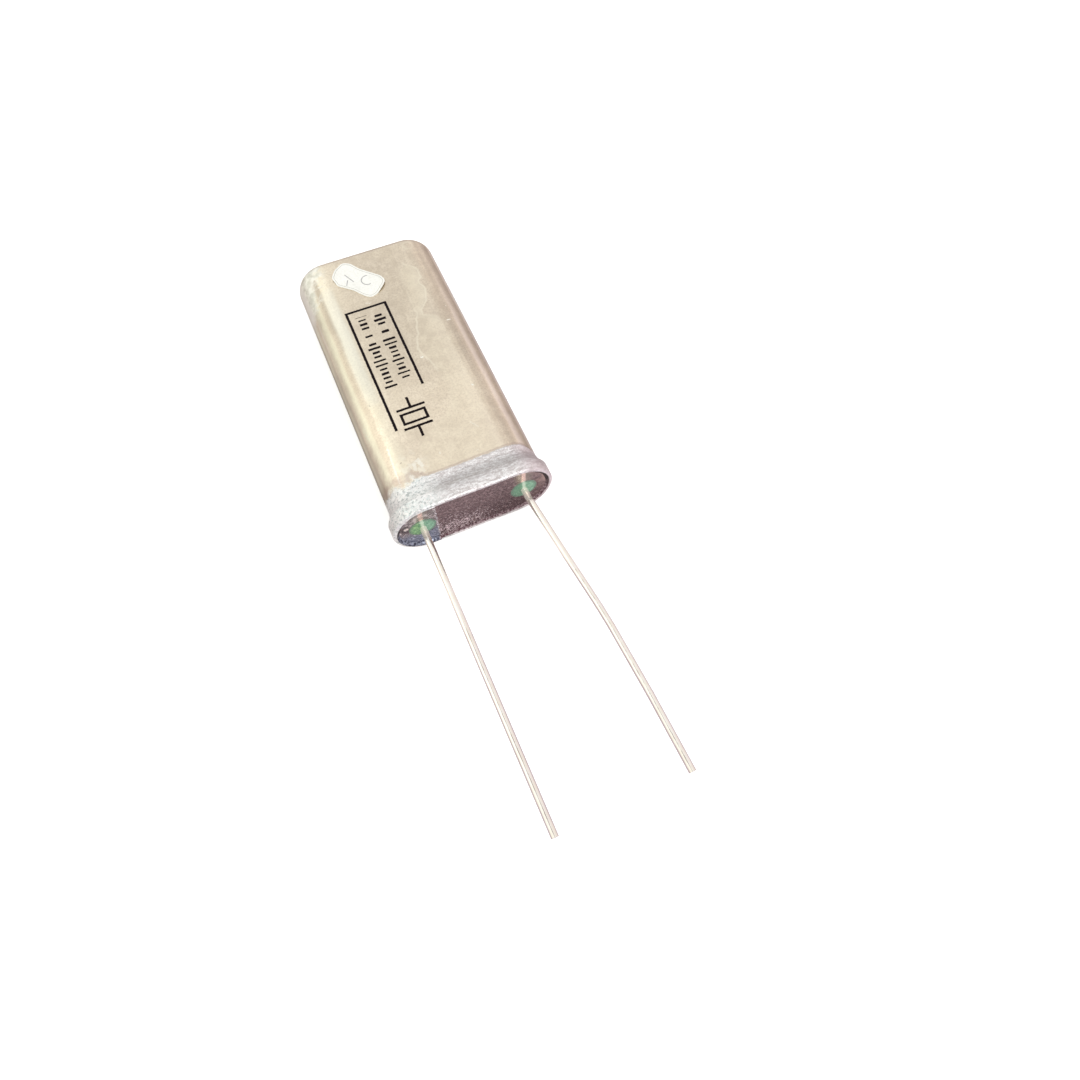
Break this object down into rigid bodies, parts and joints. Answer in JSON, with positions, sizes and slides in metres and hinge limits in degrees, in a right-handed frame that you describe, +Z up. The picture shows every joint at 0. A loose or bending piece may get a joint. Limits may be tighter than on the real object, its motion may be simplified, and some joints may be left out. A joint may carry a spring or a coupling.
{
  "type": "crystal oscillator",
  "caption": "Tall quartz crystal unit in a flat metal can with round ends, glass-sealed wire leads and a small paper label.",
  "frame": {"origin": "middle of the object's box on the surface that it lies on", "axes": "+X across the can's width, +Y towards the can's closed end with the leads towards -Y, +Z up out of the flat face that carries the marking"},
  "size_m": [0.0192, 0.074, 0.0087],
  "materials": {
    "nickel_silver": "satin, handled",
    "header_metal": "dark oxidised",
    "solder": "tinned, uneven",
    "sealing_glass": "fused green glass",
    "lead_wire": "plated, bright",
    "post_wire": "bright",
    "quartz": "lapped",
    "silver_film": "plated",
    "bronze_wire": "drawn",
    "paper": "matt, hand cut"
  },
  "bodies": {
    "root": {"can": "nickel_silver", "header": "header_metal", "seam_solder": "solder", "glass_seal_left": "sealing_glass", "glass_seal_right": "sealing_glass", "lead_left": "lead_wire", "lead_right": "lead_wire", "post_left": "post_wire", "post_right": "post_wire", "quartz_plate": "quartz", "electrode_front": "silver_film", "electrode_back": "silver_film", "suspension_wires_front": "bronze_wire", "suspension_wires_back": "bronze_wire", "solder_joints": "solder", "paper_label": "paper"}
  },
  "joints": []
}
